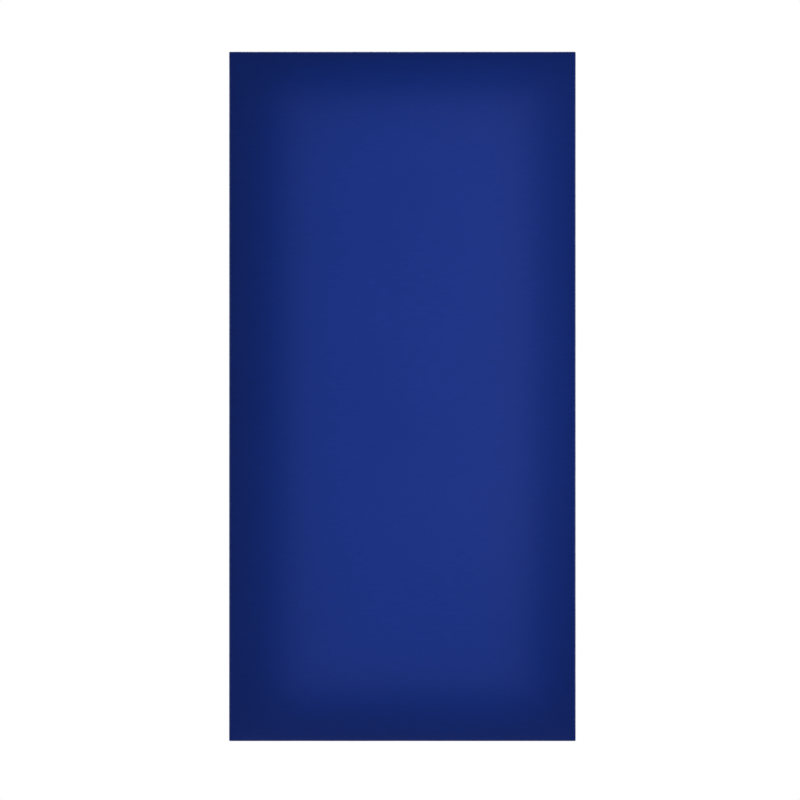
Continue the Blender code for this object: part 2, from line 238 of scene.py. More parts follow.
def woven_scrim(colours):
    """The vinyl's polyester backing, plain woven: matt off-white threads that show at the cut edge."""
    made, tree, shader = new_material("woven_scrim", colours.scrim, 0.92, specular=0.2)
    place = add(tree, "TexCoord").outputs["Object"]
    height = None
    for direction in ("X", "Z"):
        # Threads 1.2 mm apart, twice the real spacing, so that they show
        thread = add(tree, "TexWave", {"Vector": place, "Scale": math.tau / WAVE_RADIANS / (1.2 * MM),
                                       "Distortion": 0.4}, bands_direction=direction).outputs["Fac"]
        if height is None:
            height = thread
        else:
            height = add(tree, "Math", {0: height, 1: thread}, operation="MULTIPLY").outputs[0]
    bump = add(tree, "Bump", {"Height": height, "Strength": 0.5, "Distance": 0.3 * MM})
    tree.links.new(bump.outputs["Normal"], shader.inputs["Normal"])
    return made


def cut_foam(name, base, cell):
    """Sliced foam: a matt face pitted by cells of that size, with painted shade where the cells press in."""
    made, tree, shader = new_material(name, base, 0.95, specular=0.15)
    place = add(tree, "TexCoord").outputs["Object"]
    cells = add(tree, "TexVoronoi", {"Vector": place, "Scale": 1 / cell})
    # Painted shade: the colour darkens towards each cell's edge, where the bump presses the face in
    shade = add(tree, "MapRange", {"Value": cells.outputs["Distance"], "From Max": 0.7, "To Min": 1.0,
                                   "To Max": 0.72})
    tone = add(tree, "VectorMath", {0: (*base,), "Scale": shade.outputs["Result"]}, operation="SCALE")
    bump = add(tree, "Bump", {"Height": cells.outputs["Distance"], "Strength": 0.6, "Distance": cell / 3},
               invert=True)
    tree.links.new(tone.outputs["Vector"], shader.inputs["Base Color"])
    tree.links.new(bump.outputs["Normal"], shader.inputs["Normal"])
    return made


# Each layer of flakes: its turn from the board's width, in degrees, and its size against the mean
FLAKE_LAYERS = ((88, 1.0), (68, 1.15), (113, 0.9), (52, 0.8),
                (131, 1.05), (97, 0.7), (17, 0.75), (159, 0.85))


def strand_board(sizes, colours):
    """Oriented-strand board, pressed from waxed flakes: long chips of many tones lie over each other."""
    made, tree, shader = new_material("oriented_strand_board", colours.strand_light, 0.58, specular=0.4)
    place = add(tree, "TexCoord").outputs["Object"]
    flat = add(tree, "Mapping", {"Vector": place, "Rotation": (math.radians(90), 0, 0)}).outputs["Vector"]
    # A flake's edges are torn, so its outline wanders by a millimetre or two
    wander = add(tree, "TexNoise", {"Vector": flat, "Scale": 1 / (16 * MM), "Detail": 4.0, "Roughness": 0.6})
    wander = add(tree, "VectorMath", {0: wander.outputs["Color"], 1: (0.5, 0.5, 0.5)}, operation="SUBTRACT")
    wander = add(tree, "VectorMath", {0: wander.outputs["Vector"], "Scale": 9 * MM}, operation="SCALE")
    torn = add(tree, "VectorMath", {0: flat, 1: wander.outputs["Vector"]}, operation="ADD").outputs["Vector"]
    top, tone, grain = None, None, None
    for layer, (degrees, size) in enumerate(FLAKE_LAYERS):
        shift = (0.37 * layer + 0.05, 0.21 * layer + 0.013, 0)
        turned = add(tree, "Mapping", {"Vector": torn, "Rotation": (0, 0, math.radians(degrees)),
                                       "Location": shift}).outputs["Vector"]
        flake = add(tree, "TexBrick", {"Vector": turned, "Color1": (0, 0, 0, 1), "Color2": (1, 1, 1, 1),
                                       "Scale": 1.0, "Mortar Size": 0.0, "Mortar Smooth": 0.0,
                                       "Brick Width": size * sizes.strand_length,
                                       "Row Height": size * sizes.strand_width},
                    offset=0.37, offset_frequency=3, squash=0.62, squash_frequency=2).outputs["Color"]
        # The highest flake of all the layers shows; each flake's height comes from its own shade
        seed = add(tree, "Math", {0: flake, 1: 91.7 + layer}, operation="MULTIPLY").outputs[0]
        height = add(tree, "TexWhiteNoise", {"W": seed}, noise_dimensions="1D")
        # Fibres run along the flake, 1.6 mm apart, and each flake's are its own
        along = add(tree, "Mapping", {"Vector": flat, "Rotation": (0, 0, math.radians(degrees))})
        fibres = add(tree, "Mapping", {"Vector": along.outputs["Vector"],
                                       "Scale": (1 / (60 * MM), 1 / (1.6 * MM), 1)})
        fibres = add(tree, "VectorMath", {0: fibres.outputs["Vector"], 1: height.outputs["Color"]},
                     operation="ADD")
        fibre = add(tree, "TexNoise", {"Vector": fibres.outputs["Vector"], "Scale": 1.0, "Detail": 4.0,
                                       "Roughness": 0.65})
        here = (height.outputs["Value"], flake, fibre.outputs["Fac"])
        if top is None:
            top, tone, grain = here
            continue
        over = add(tree, "Math", {0: here[0], 1: top}, operation="GREATER_THAN").outputs[0]
        top = add(tree, "Math", {0: here[0], 1: top}, operation="MAXIMUM").outputs[0]
        tone = add(tree, "Mix", {0: over, 2: tone, 3: here[1]}).outputs[0]
        grain = add(tree, "Mix", {0: over, 2: grain, 3: here[2]}).outputs[0]
    light, dark = colours.strand_light, colours.strand_dark
    stops = [(share, [b + (a - b) * mix for a, b in zip(light, dark)]) for share, mix in (
        (0.0, 0.0), (1.0, 1.0), (0.10, 0.30), (0.32, 0.62), (0.62, 0.84))]
    wood = add(tree, "ValToRGB", {"Fac": tone}, stops=stops)
    streak = add(tree, "MapRange", {"Value": grain, "From Min": 0.3, "From Max": 0.7, "To Min": 0.70,
                                    "To Max": 1.10})
    wood = add(tree, "VectorMath", {0: wood.outputs["Color"], "Scale": streak.outputs["Result"]},
               operation="SCALE")
    relief = add(tree, "Math", {0: grain, 1: 0.22, 2: top}, operation="MULTIPLY_ADD")
    bump = add(tree, "Bump", {"Height": relief.outputs[0], "Strength": 1.0, "Distance": 0.9 * MM})
    tree.links.new(wood.outputs["Vector"], shader.inputs["Base Color"])
    tree.links.new(bump.outputs["Normal"], shader.inputs["Normal"])
    return made


def extruded_aluminium(colours):
    """Aluminium as it leaves the die: soft die lines run along the rail and stretch its highlights."""
    made, tree, shader = new_material("extruded_aluminium", colours.aluminium, 0.36, metallic=1.0)
    place = add(tree, "TexCoord").outputs["Object"]
    along = add(tree, "Mapping", {"Vector": place,
                                  "Scale": (1 / (180 * MM), 1 / (0.9 * MM), 1 / (0.9 * MM))})
    line = add(tree, "TexNoise", {"Vector": along.outputs["Vector"], "Scale": 1.0, "Detail": 3.0})
    smudge = add(tree, "TexNoise", {"Vector": place, "Scale": 1 / (35 * MM), "Detail": 3.0})
    gloss = add(tree, "MapRange", {"Value": smudge.outputs["Fac"], "From Min": 0.3, "From Max": 0.7,
                                   "To Min": 0.28, "To Max": 0.44})
    shade = add(tree, "MapRange", {"Value": line.outputs["Fac"], "To Min": 0.88, "To Max": 1.06})
    tone = add(tree, "VectorMath", {0: (*colours.aluminium,), "Scale": shade.outputs["Result"]},
               operation="SCALE")
    bump = add(tree, "Bump", {"Height": line.outputs["Fac"], "Strength": 0.25, "Distance": 0.15 * MM})
    tree.links.new(tone.outputs["Vector"], shader.inputs["Base Color"])
    tree.links.new(gloss.outputs["Result"], shader.inputs["Roughness"])
    tree.links.new(bump.outputs["Normal"], shader.inputs["Normal"])
    return made


def zinc_plate(colours):
    """Electroplated zinc over drawn steel wire: bright, with a faint grey cloud."""
    made, tree, shader = new_material("zinc_plated_steel", colours.zinc, 0.28, metallic=1.0)
    place = add(tree, "TexCoord").outputs["Object"]
    cloud = add(tree, "TexNoise", {"Vector": place, "Scale": 1 / (4 * MM), "Detail": 3.0})
    shade = add(tree, "MapRange", {"Value": cloud.outputs["Fac"], "From Min": 0.3, "From Max": 0.7,
                                   "To Min": 0.84, "To Max": 1.05})
    tone = add(tree, "VectorMath", {0: (*colours.zinc,), "Scale": shade.outputs["Result"]},
               operation="SCALE")
    gloss = add(tree, "MapRange", {"Value": cloud.outputs["Fac"], "To Min": 0.22, "To Max": 0.38})
    tree.links.new(tone.outputs["Vector"], shader.inputs["Base Color"])
    tree.links.new(gloss.outputs["Result"], shader.inputs["Roughness"])
    return made


def material(name, build, *details):
    """The material of that name, made once."""
    return bpy.data.materials.get(name) or build(*details)


# The shape of the pad

def inset_of(x, z):
    """How far a point is inside the pad's outline, in X and in Z."""
    return HALF_WIDTH - abs(x), HALF_HEIGHT - abs(z - CENTRE_Z)


def side_depth(sizes):
    """The depth where the cover's sides end and its face begins."""
    return PAD_FRONT - sizes.crown - 2 * MM


def board_inset(sizes):
    """The cover's inset where it lies against the side of the board."""
    return HALF_WIDTH - BOARD_HIGH.x - GLUE_GAP - sizes.cover_thickness


def staple_phase(place, on_side):
    """A place's distance along the hem from the middle, counted in staples."""
    return (place.z - CENTRE_Z) / PITCH_Z if on_side else place.x / PITCH_X


def corner_name(across, up):
    return f"{'top' if up > 0 else 'bottom'}_{'right' if across > 0 else 'left'}"


def crown_drop(sizes, x, z):
    """How far the face lies below its flat middle: the nearer side counts, and the rim rolls over."""
    inset_x, inset_z = inset_of(x, z)
    near = [max(0.0, 1 - inset / sizes.crown_reach) for inset in (inset_x, inset_z)]
    roll = max(0.0, 1 - (min(inset_x, inset_z) - RIM_STEPS[0]) / RIM_ROLL_REACH)
    blend, fade = 9, 2.4  # how sharply the two sides meet in a corner, and how the drop fades inwards
    return sizes.crown * (near[0] ** blend + near[1] ** blend) ** (fade / blend) + RIM_ROLL * roll ** 2


def face_wave(sizes, x, z):
    """The foam's slow, shallow waves under the face."""
    return sizes.softness * noise.noise(Vector((x / 0.16, 3.1, z / 0.21)))


def stations(half, edge_steps, largest):
    """Places from -half to half: close together at the ends, evenly spaced between."""
    ends = [half - step for step in edge_steps]
    gaps = math.ceil(2 * ends[-1] / largest)
    inner = [ends[-1] * (2 * k / gaps - 1) for k in range(1, gaps)]
    return [-end for end in ends] + inner + ends[::-1]


# Modelling steps that the pieces share

def deselect_all():
    bpy.ops.object.select_all(action="DESELECT")


def begin(name):
    """Names the primitive that was just added, and opens it in edit mode."""
    piece = bpy.context.object
    piece.name = name
    piece.data.name = name
    bpy.ops.object.mode_set(mode="EDIT")
    return piece


def apply_modifier(piece, kind, **settings):
    made = piece.modifiers.new(kind.lower(), kind)
    for name, value in settings.items():
        setattr(made, name, value)
    deselect_all()
    piece.select_set(True)
    bpy.context.view_layer.objects.active = piece
    bpy.ops.object.modifier_apply(modifier=made.name)


def ready(piece, body, materials):
    """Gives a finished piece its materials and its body."""
    for made in materials:
        piece.data.materials.append(made)
    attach(piece, body)
    return piece


def face_grid(name, xs, zs, depth_at):
    """A grid over the pad's face, with its columns at xs, its rows at zs and its depth from a function."""
    deselect_all()
    bpy.ops.mesh.primitive_grid_add(x_subdivisions=len(xs) - 1, y_subdivisions=len(zs) - 1, size=2)
    piece = bpy.context.object
    for point in piece.data.vertices:
        column = round((point.co.x + 1) / 2 * (len(xs) - 1))
        row = round((point.co.y + 1) / 2 * (len(zs) - 1))
        x, z = xs[column], CENTRE_Z + zs[row]
        point.co = (x, -depth_at(x, z), z)
    begin(name)
    bpy.ops.mesh.select_mode(type="EDGE")
    bpy.ops.mesh.select_all(action="SELECT")
    bpy.ops.mesh.region_to_loop()
    return piece


def draw_ring(from_inset, to_inset, to_depth, flatness):
    """Extrudes the open rim to the next inset and depth, the same distance in on all four sides."""
    bpy.ops.mesh.extrude_region_move()
    scale_x = (HALF_WIDTH - to_inset) / (HALF_WIDTH - from_inset)
    scale_z = (HALF_HEIGHT - to_inset) / (HALF_HEIGHT - from_inset)
    bpy.ops.transform.resize(value=(scale_x, 1 - flatness, scale_z),
                             center_override=(0, -to_depth, CENTRE_Z))


def draw_rings(inset, rings):
    """Draws the rings after one at that inset. The first keeps some of the rim's own rise and fall."""
    for count, (to_inset, to_depth) in enumerate(rings):
        draw_ring(inset, to_inset, to_depth, 0.6 if count == 0 else 1)
        inset = to_inset


def side_rings(sizes):
    """The cover's sides from the rim to the back edge of the board, as (inset, depth)."""
    rim = PAD_FRONT - sizes.crown
    foam = PAD_FRONT - FIRM_BACK
    board_side = board_inset(sizes)
    return [(inset, rim - behind) for inset, behind in EDGE_ROLL] + [
        (0.0, rim - 8.5 * MM),
        (0.1 * MM, FIRM_BACK + 0.42 * foam),
        (0.5 * MM, FIRM_BACK + 0.16 * foam),
        (board_side, BOARD_FRONT),
        (board_side, HEM_BACK + 2.5 * MM),
        (board_side + 0.7 * MM, HEM_BACK + 0.7 * MM),
        (board_side + 2.5 * MM, HEM_BACK),
    ]


class PUNCHPAD_OT_cover(bpy.types.Operator):
    """Stretches the vinyl cover over the foam and turns its hem on to the back of the board"""
    bl_idname = "punchpad.cover"
    bl_label = "Vinyl cover"

    def execute(self, context):
        sizes, colours = context.scene.pad_sizes, context.scene.pad_colours
        xs = stations(HALF_WIDTH, RIM_STEPS, COVER_CELL)
        zs = stations(HALF_HEIGHT, RIM_STEPS, COVER_CELL)
        cover = face_grid("cover_sheet", xs, zs, lambda x, z: PAD_FRONT - crown_drop(sizes, x, z))
        free_edge = STAPLE_LINE + sizes.hem_width / 2
        hem = [(inset, HEM_BACK) for inset in (
            11 * MM, 17 * MM, STAPLE_LINE, STAPLE_LINE + 6 * MM, free_edge - 5.5 * MM, free_edge)]
        draw_rings(RIM_STEPS[0], side_rings(sizes) + hem)
        bpy.ops.mesh.select_all(action="SELECT")
        bpy.ops.mesh.normals_make_consistent(inside=False)
        bpy.ops.object.mode_set(mode="OBJECT")
        self.sharpen_corners(cover)
        apply_modifier(cover, "SUBSURF", levels=1, render_levels=1)
        self.settle(cover, sizes, free_edge)
        self.stretch(cover, sizes)
        apply_modifier(cover, "SOLIDIFY", thickness=sizes.cover_thickness, offset=-1, use_even_offset=True,
                       material_offset=1, material_offset_rim=1)
        bpy.ops.object.shade_smooth_by_angle(angle=COVER_ANGLE)
        ready(cover, "pad", [
            material("calendered_vinyl", calendered_vinyl, colours),
            material("woven_scrim", woven_scrim, colours)])
        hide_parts("vinyl_cover")
        folds = [self.fold(cover, sizes, colours, across, up) for across in (-1, 1) for up in (-1, 1)]
        return {"FINISHED"}

    def stretch(self, cover, sizes):
        """A short cloth run: held fast under the staples, softly by foam and board, and pulled taut."""
        held = cover.vertex_groups.new(name="held")
        for point in cover.data.vertices:
            inset_x, inset_z = inset_of(point.co.x, point.co.z)
            phase = staple_phase(point.co, inset_x < inset_z)
            near_line = abs(min(inset_x, inset_z) - STAPLE_LINE) < 4 * MM
            depth = -point.co.y
            if depth < HEM_BACK + 0.4 * MM:
                hold = HOLD_STAPLE if near_line and abs(phase - round(phase)) < 0.2 else HOLD_HEM
            elif depth < BOARD_HOLD_DEPTH:
                hold = HOLD_BOARD
            else:
                hold = HOLD_SIDE if depth < side_depth(sizes) else HOLD_FACE
            held.add([point.index], hold, "REPLACE")
        made = cover.modifiers.new("stretch", "CLOTH")
        cloth = made.settings
        cloth.vertex_group_mass = "held"
        cloth.pin_stiffness = 2
        cloth.quality = 4
        cloth.mass = 0.4
        cloth.tension_stiffness = cloth.compression_stiffness = 40
        cloth.shear_stiffness = 20
        cloth.bending_stiffness = 2
        cloth.shrink_min = 0.008
        cloth.use_pressure = True
        cloth.uniform_pressure_force = 3
        cloth.effector_weights.gravity = 0
        made.point_cache.frame_start, made.point_cache.frame_end = 1, CLOTH_FRAMES
        for frame_number in range(1, CLOTH_FRAMES + 1):
            bpy.context.scene.frame_set(frame_number)
        deselect_all()
        cover.select_set(True)
        bpy.context.view_layer.objects.active = cover
        bpy.ops.object.modifier_apply(modifier=made.name)
        bpy.context.scene.frame_set(1)
        cover.vertex_groups.clear()

    def sharpen_corners(self, cover):
        """Creases the edges that run back from the face's corners, where the foam is cut square."""
        crease = cover.data.attributes.new("crease_edge", "FLOAT", "EDGE")
        at_corner = set()
        for point in cover.data.vertices:
            inset_x, inset_z = inset_of(point.co.x, point.co.z)
            if abs(inset_x - inset_z) < 0.05 * MM and inset_x < RIM_STEPS[0] + 0.1 * MM:
                at_corner.add(point.index)
        for edge in cover.data.edges:
            if at_corner.issuperset(edge.vertices):
                crease.data[edge.index].value = CORNER_CREASE

    def fold(self, cover, sizes, colours, across, up):
        """The doubled end of the top or bottom flap: squared off at the corner, mitred over the hem."""
        over_side = side_rings(sizes)[len(EDGE_ROLL):]
        path = over_side + [(step * MM, HEM_BACK) for step in (9, 15, 21, 27, 33, 39.5)]
        rows, columns = len(path), 15
        deselect_all()
        bpy.ops.mesh.primitive_grid_add(x_subdivisions=columns - 1, y_subdivisions=rows - 1, size=2)
        made = bpy.context.object
        thick = made.vertex_groups.new(name="thick")
        for point in made.data.vertices:
            row = round((point.co.y + 1) / 2 * (rows - 1))
            share = (point.co.x + 1) / 2  # 0 at the flap's outer edge, 1 at its inner one
            inset, depth = path[row]
            on_hem = row >= len(over_side)
            edge = max(FOLD_INSET, inset + 0.6 * MM) if on_hem else FOLD_INSET
            reach = FOLD_REACH * (0.35 + 0.65 * row / (rows - 1)) - 0.7 * (edge - FOLD_INSET)
            point.co = (across * (HALF_WIDTH - edge - share * reach),
                        -depth + (FOLD_LIFT if on_hem else 0),
                        CENTRE_Z + up * (HALF_HEIGHT - inset + (0 if on_hem else FOLD_LIFT)))
            thins = share ** 2 * (3 - 2 * share)
            thick.add([point.index], (1 - thins) * min(1.0, row / 4), "REPLACE")
        begin(f"corner_fold_{corner_name(across, up)}")
        bpy.ops.mesh.select_all(action="SELECT")
        bpy.ops.mesh.normals_make_consistent(inside=False)
        bpy.ops.object.mode_set(mode="OBJECT")
        hem_normals = [point.normal.y for point in made.data.vertices if point.co.y > -HEM_BACK]
        if sum(hem_normals) < 0:  # an open sheet's normals may all face in
            made.data.flip_normals()
        apply_modifier(made, "SUBSURF", levels=1, render_levels=1)
        apply_modifier(made, "SHRINKWRAP", target=cover, wrap_method="NEAREST_SURFACEPOINT",
                       wrap_mode="ABOVE_SURFACE", offset=0.05 * MM)
        # The flap's thin inner edges dive into the cover, as the rest of it is the cover's own sheet
        apply_modifier(made, "DISPLACE", strength=-FOLD_DIVE, mid_level=0, vertex_group="thick",
                       invert_vertex_group=True)
        apply_modifier(made, "SOLIDIFY", thickness=FOLD_THICKNESS, offset=1, vertex_group="thick",
                       thickness_vertex_group=0.04)
        made.vertex_groups.clear()
        bpy.ops.object.shade_smooth_by_angle(angle=COVER_ANGLE)
        return ready(made, "pad", [material("calendered_vinyl", calendered_vinyl, colours)])

    def settle(self, cover, sizes, free_edge):
        """Slow waves on the face, pulls on the sides and puckers in the hem, from the staples' places."""
        beyond = free_edge - STAPLE_LINE
        normals = [point.normal.copy() for point in cover.data.vertices]
        for point, normal in zip(cover.data.vertices, normals):
            place = point.co.copy()
            inset_x, inset_z = inset_of(place.x, place.z)
            on_side = inset_x < inset_z
            between = 0.5 - 0.5 * math.cos(2 * math.pi * staple_phase(place, on_side))  # 0 at a staple
            inset = min(inset_x, inset_z)
            depth = -place.y
            ripple = noise.noise(place / 0.045)
            if normal.y > 0.7:  # the hem
                lift = min(1.0, max(0.0, (inset - 5 * MM) / (12 * MM)))  # none beside the board's edge
                lift *= 0.35 + 0.65 * abs(inset - STAPLE_LINE) / beyond
                point.co.y += sizes.pucker * lift * between * (0.8 + 0.5 * ripple) + HEM_TOP
                slack = max(0.0, (inset - STAPLE_LINE) / beyond)
                stray = HEM_STRAY * slack * noise.noise(place / 0.06 + Vector((7, 0, 0)))
                axis = 0 if on_side else 2
                point.co[axis] += math.copysign(stray, place[axis] - (0 if on_side else CENTRE_Z))
            elif depth < side_depth(sizes):
                pull = math.exp(-max(0.0, depth - HEM_BACK) / SIDE_PULL_REACH)
                point.co += normal * (SIDE_PULL * pull * (between - 0.6) + SIDE_RIPPLE * ripple * (1 - pull))
            else:
                point.co.y += face_wave(sizes, place.x, place.z)


class PUNCHPAD_OT_foam(bpy.types.Operator):
    """Builds the soft foam under the face and the firm foam behind it"""
    bl_idname = "punchpad.foam"
    bl_label = "Foam layers"

    def execute(self, context):
        sizes, colours = context.scene.pad_sizes, context.scene.pad_colours
        under = sizes.cover_thickness + FOAM_GAP
        xs = stations(HALF_WIDTH, [step + under for step in RIM_STEPS], FOAM_CELL)
        zs = stations(HALF_HEIGHT, [step + under for step in RIM_STEPS], FOAM_CELL)
        rim = PAD_FRONT - sizes.crown - under
        soft = face_grid("soft_foam_block", xs, zs,
                         lambda x, z: PAD_FRONT - under - crown_drop(sizes, x, z) - sizes.softness)
        draw_rings(RIM_STEPS[0] + under, [(inset + under, rim - behind) for inset, behind in EDGE_ROLL] + [
            (0.2 * MM + under, SOFT_BACK)])
        self.close(soft, "soft_foam", material("sliced_polyurethane_foam", cut_foam,
                   "sliced_polyurethane_foam", colours.soft_foam, 1.6 * MM))
        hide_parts("soft_foam_layer")
        firm = face_grid("firm_foam_block", xs, zs, lambda x, z: SOFT_BACK - GLUE_GAP)
        draw_rings(RIM_STEPS[0] + under, [
            (1.0 * MM + under, SOFT_BACK - 1.5 * MM), (0.6 * MM + under, SOFT_BACK - 9 * MM),
            (1.0 * MM + under, FIRM_BACK + 1.5 * MM), (2.6 * MM + under, FIRM_BACK)])
        self.close(firm, "firm_foam", material("sliced_polyethylene_foam", cut_foam,
                   "sliced_polyethylene_foam", colours.firm_foam, 1.1 * MM))
        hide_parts("firm_foam_layer")
        return {"FINISHED"}

    def close(self, block, slot, foam):
        """Fills the open back of a foam block and finishes it as padding."""
        bpy.ops.mesh.edge_face_add()
        bpy.ops.mesh.select_all(action="SELECT")
        bpy.ops.mesh.normals_make_consistent(inside=False)
        bpy.ops.object.mode_set(mode="OBJECT")
        bpy.ops.object.shade_smooth_by_angle(angle=BLOCK_ANGLE)
        ready(block, "pad", [foam])


class PUNCHPAD_OT_staples(bpy.types.Operator):
    """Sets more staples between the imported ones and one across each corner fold"""
    bl_idname = "punchpad.staples"
    bl_label = "Staples between"

    def execute(self, context):
        sizes, colours = context.scene.pad_sizes, context.scene.pad_colours
        zinc = material("zinc_plated_steel", zinc_plate, colours)
        pattern = self.staple(sizes)
        for name, place, turn in self.places(sizes):
            deselect_all()
            pattern.select_set(True)
            bpy.context.view_layer.objects.active = pattern
            bpy.ops.object.duplicate(linked=False)
            made = bpy.context.object
            made.name = made.data.name = name
            made.rotation_euler.y = turn
            made.location = place
            bpy.ops.object.transform_apply(location=True, rotation=True, scale=True)
            ready(made, "pad", [zinc])
        bpy.data.objects.remove(pattern)
        return {"FINISHED"}

    def staple(self, sizes):
        """One staple about the origin: the crown's underside at y = 0 and the legs towards the front."""
        deselect_all()
        bpy.ops.mesh.primitive_cube_add(size=1, location=(0, sizes.wire_thin / 2, 0))
        made = bpy.context.object
        made.scale = (sizes.crown_width, sizes.wire_thin, sizes.wire_wide)
        bpy.ops.object.transform_apply(location=True, rotation=False, scale=True)
        made = begin("staple_pattern")
        leg = sizes.crown_width / 2 - sizes.wire_thin
        for side in (-1, 1):
            bpy.ops.mesh.select_all(action="SELECT")
            bpy.ops.mesh.bisect(plane_co=(side * leg, 0, 0), plane_no=(1, 0, 0))
        bpy.ops.mesh.select_all(action="DESELECT")
        bpy.ops.object.mode_set(mode="OBJECT")
        for face in made.data.polygons:
            face.select = face.normal.y < -0.9 and abs(face.center.x) > leg
        bpy.ops.object.mode_set(mode="EDIT")
        bpy.ops.mesh.select_mode(type="FACE")
        bpy.ops.mesh.extrude_region_move(TRANSFORM_OT_translate={"value": (0, -STAPLE_LEG, 0)})
        bpy.ops.object.mode_set(mode="OBJECT")
        apply_modifier(made, "BEVEL", width=0.18 * MM, segments=2, limit_method="ANGLE",
                       angle_limit=math.radians(60))
        bpy.ops.object.shade_smooth_by_angle(angle=BLOCK_ANGLE)
        return made

    def places(self, sizes):
        """(name, middle of the crown's underside, turn about Y) of each further staple."""
        depth = HEM_BACK - STAPLE_RISE
        for side, spots, sign in (("top", STAPLE_X, 1), ("bottom", STAPLE_X, -1),
                                  ("left", STAPLE_Z, -1), ("right", STAPLE_Z, 1)):
            for count, (low, high) in enumerate(zip(spots, spots[1:]), 1):
                name = f"hem_staple_{side}_{count:02d}"
                middle = (low + high) / 2
                lean = STAPLE_LEAN * noise.noise(Vector((middle * 31, sign * 5.5, len(spots))))
                drift = STAPLE_DRIFT * noise.noise(Vector((sign * 3.3, middle * 47, len(spots))))
                if side in ("top", "bottom"):
                    line = CENTRE_Z + sign * (HALF_HEIGHT - STAPLE_LINE + drift)
                    yield name, Vector((middle, -depth, line)), lean
                else:
                    line = sign * (HALF_WIDTH - STAPLE_LINE + drift)
                    yield name, Vector((line, -depth, middle)), lean + math.radians(90)
        inset, aside = STAPLE_LINE + 3 * MM, 6 * MM  # a corner's staple is on the thick of its flap
        for across in (-1, 1):
            for up in (-1, 1):
                place = Vector((across * (HALF_WIDTH - inset - aside), -depth + FOLD_THICKNESS,
                                CENTRE_Z + up * (HALF_HEIGHT - inset + aside)))
                yield f"hem_staple_{corner_name(across, up)}_corner", place, math.radians(45) * across * up


class PUNCHPAD_OT_metal_and_board(bpy.types.Operator):
    """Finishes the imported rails, screws, staples and board"""
    bl_idname = "punchpad.metal_and_board"
    bl_label = "Board, rails, screws and staples"

    def execute(self, context):
        sizes, colours = context.scene.pad_sizes, context.scene.pad_colours
        board = material("oriented_strand_board", strand_board, sizes, colours)
        aluminium = material("extruded_aluminium", extruded_aluminium, colours)
        zinc = material("zinc_plated_steel", zinc_plate, colours)
        for name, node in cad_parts.items():
            if name == "backing_board":
                made = board
            elif name.endswith("_rail"):
                made = aluminium
            elif name.startswith("staple_") or "_screw_" in name:
                made = zinc
            else:
                continue
            for place in node.material_slots:
                place.material = made
        return {"FINISHED"}


# The lights about the pad: name, place from its middle, size, and brightness; each faces the pad's middle
LIGHTS = (
    ("left_side_light", (-1.8, 0.9, 0.2), (0.9, 1.8), 1.2),
    ("right_side_light", (1.8, 0.9, 0.2), (0.9, 1.8), 1.2),
    ("rear_left_light", (-2.0, 2.6, 0.9), (1.6, 2.0), 1.5),
    ("rear_right_light", (2.3, 2.6, -0.1), (1.6, 2.2), 1.0),
    ("rear_strip_light", (1.15, 1.1, -0.3), (0.25, 1.6), 0.9),
    ("overhead_light", (0.0, 1.6, 2.4), (2.4, 1.6), 2.2),
)
INTO_WALL = Vector((0, 1, 0))
SOFT_BOX_GAP = 65 * MM  # so close before the face that its light falls off towards the rim
KEY_GAP = 0.48
FLOOR_DROP = 1.1  # from the pad's bottom to the floor
PAD_SHARE = 0.8610  # the pad's height, and its middle's place, as shares of the frame's height
PAD_RIGHT = 0.0030
PAD_ABOVE = 0.0045
OUTLINE_DEPTH = 35 * MM  # where the pad is widest, which the frame is fitted to


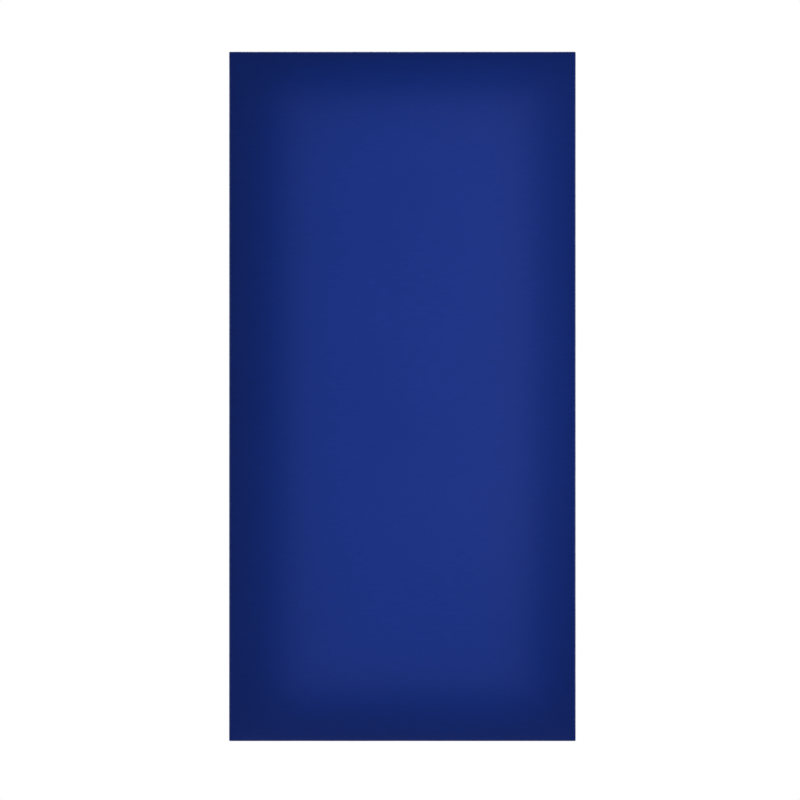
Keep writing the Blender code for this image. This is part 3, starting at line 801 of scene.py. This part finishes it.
class PUNCHPAD_OT_stage(bpy.types.Operator):
    """Sets up the pale floor, the soft lights and the camera"""
    bl_idname = "punchpad.stage"
    bl_label = "Stage"

    def execute(self, context):
        stage = context.scene.pad_stage
        context.scene.view_settings.view_transform = "Standard"
        self.room(context.scene, stage)
        self.floor()
        pad = Vector((0, 0, CENTRE_Z))
        self.light("face_soft_box", pad + Vector((12 * MM, -PAD_FRONT - SOFT_BOX_GAP, 9 * MM)),
                   (0.456, 1.086), INTO_WALL, stage.soft_box)
        self.light("key_soft_box", pad + Vector((0.25, -PAD_FRONT - KEY_GAP, 0.15)), (0.30, 1.00),
                   INTO_WALL, stage.key)
        for name, offset, size, brightness in LIGHTS:
            self.light(name, pad + Vector(offset), size, -Vector(offset), brightness)
        self.camera(context.scene, stage)
        return {"FINISHED"}

    def room(self, scene, stage):
        """White to the camera, a soft grey light to everything else."""
        world = bpy.data.worlds.new("room")
        scene.world = world
        world.use_nodes = True
        tree = world.node_tree
        tree.nodes.clear()
        path = add(tree, "LightPath")
        way = add(tree, "SeparateXYZ", {"Vector": add(tree, "TexCoord").outputs["Generated"]}).outputs["Y"]
        # What is glossy mirrors a dark room before the pad and a paler one behind it
        mirrored = add(tree, "MapRange", {"Value": way, "From Min": -0.4, "From Max": 0.6, "To Min": 0.04,
                                          "To Max": 0.30}).outputs["Result"]
        strength = add(tree, "Mix", {0: path.outputs["Is Glossy Ray"], 2: stage.surround, 3: mirrored})
        strength = add(tree, "Mix", {0: path.outputs["Is Camera Ray"], 2: strength.outputs[0], 3: 1.0})
        light = add(tree, "Background", {"Color": (1, 1, 1, 1), "Strength": strength.outputs[0]})
        add(tree, "OutputWorld", {"Surface": light.outputs["Background"]})

    def floor(self):
        """A pale round floor that fades to white far away."""
        deselect_all()
        bpy.ops.mesh.primitive_circle_add(vertices=96, radius=40, fill_type="NGON",
                                          location=(0, 0, COVER_LOW.z - FLOOR_DROP))
        floor = bpy.context.object
        floor.name = "floor"
        made, tree, shader = new_material("pale_floor", linear("#E4E4E2"), 0.9, specular=0.1)
        place = add(tree, "TexCoord").outputs["Object"]
        far = add(tree, "VectorMath", {0: place}, operation="LENGTH").outputs["Value"]
        fade = add(tree, "MapRange", {"Value": far, "From Min": 2.0, "From Max": 9.0}, clamp=True,
                   interpolation_type="SMOOTHSTEP").outputs["Result"]
        seen = add(tree, "LightPath").outputs["Is Camera Ray"]
        glow = add(tree, "Math", {0: fade, 1: seen}, operation="MULTIPLY").outputs[0]
        white = add(tree, "Emission", {"Color": (1, 1, 1, 1), "Strength": 1.0}).outputs[0]
        lift = add(tree, "Math", {0: seen, 1: 0.5}, operation="MULTIPLY").outputs[0]
        lit = add(tree, "Emission", {"Color": (1, 1, 1, 1), "Strength": lift}).outputs[0]
        pale = add(tree, "AddShader", {0: shader.outputs[0], 1: lit}).outputs[0]
        above = add(tree, "MixShader", {0: glow, 1: pale, 2: white}).outputs[0]
        # From below the floor is clear, so the pad can be seen from there too
        below = add(tree, "NewGeometry").outputs["Backfacing"]
        clear = add(tree, "BsdfTransparent").outputs[0]
        both = add(tree, "MixShader", {0: below, 1: above, 2: clear}).outputs[0]
        tree.links.new(both, tree.nodes["Material Output"].inputs["Surface"])
        floor.data.materials.append(made)

    def light(self, name, place, size, towards, brightness):
        """A rectangular soft light of that brightness, facing that way and unseen by the camera."""
        data = bpy.data.lights.new(name, "AREA")
        data.shape = "RECTANGLE"
        data.size, data.size_y = size
        data.energy = brightness * size[0] * size[1] * math.pi
        lamp = bpy.data.objects.new(name, data)
        bpy.context.scene.collection.objects.link(lamp)
        lamp.location = place
        lamp.rotation_euler = towards.to_track_quat("-Z", "Y").to_euler()
        lamp.visible_camera = False
        lamp.visible_glossy = "soft_box" not in name

    def camera(self, scene, stage):
        """A long lens square to the face; the pad stands a little above and right of the middle."""
        data = bpy.data.cameras.new("camera")
        data.lens = stage.lens
        data.sensor_width = 36
        tall = 2 * HALF_HEIGHT / PAD_SHARE
        away = tall / 2 / (data.sensor_width / 2 / data.lens)
        eye = bpy.data.objects.new("camera", data)
        scene.collection.objects.link(eye)
        eye.location = (-PAD_RIGHT * tall, -away - OUTLINE_DEPTH, CENTRE_Z - PAD_ABOVE * tall)
        eye.rotation_euler = (math.radians(90), 0, 0)
        data.clip_end = 200
        scene.camera = eye


class PUNCHPAD_PT_panel(bpy.types.Panel):
    """Lists the pad's pieces, sizes and colours"""
    bl_idname = "PUNCHPAD_PT_panel"
    bl_label = "Wall Punch Pad"
    bl_space_type = "VIEW_3D"
    bl_region_type = "UI"
    bl_category = "Punch Pad"

    def draw(self, context):
        for operator in OPERATORS:
            self.layout.operator(operator.bl_idname)
        for group in (context.scene.pad_sizes, context.scene.pad_colours, context.scene.pad_stage):
            for name in group.__annotations__:
                self.layout.prop(group, name)


OPERATORS = (PUNCHPAD_OT_cover, PUNCHPAD_OT_foam, PUNCHPAD_OT_staples, PUNCHPAD_OT_metal_and_board,
             PUNCHPAD_OT_stage)
CLASSES = (PadSizes, PadColours, StageSettings, *OPERATORS, PUNCHPAD_PT_panel)


def register():
    for made in CLASSES:
        bpy.utils.register_class(made)
    bpy.types.Scene.pad_sizes = PointerProperty(type=PadSizes)
    bpy.types.Scene.pad_colours = PointerProperty(type=PadColours)
    bpy.types.Scene.pad_stage = PointerProperty(type=StageSettings)


def unregister():
    del bpy.types.Scene.pad_stage
    del bpy.types.Scene.pad_colours
    del bpy.types.Scene.pad_sizes
    for made in reversed(CLASSES):
        bpy.utils.unregister_class(made)


def main():
    register()
    bpy.ops.punchpad.cover()
    bpy.ops.punchpad.foam()
    bpy.ops.punchpad.staples()
    bpy.ops.punchpad.metal_and_board()
    bpy.ops.punchpad.stage()


if __name__ == "__main__":
    main()
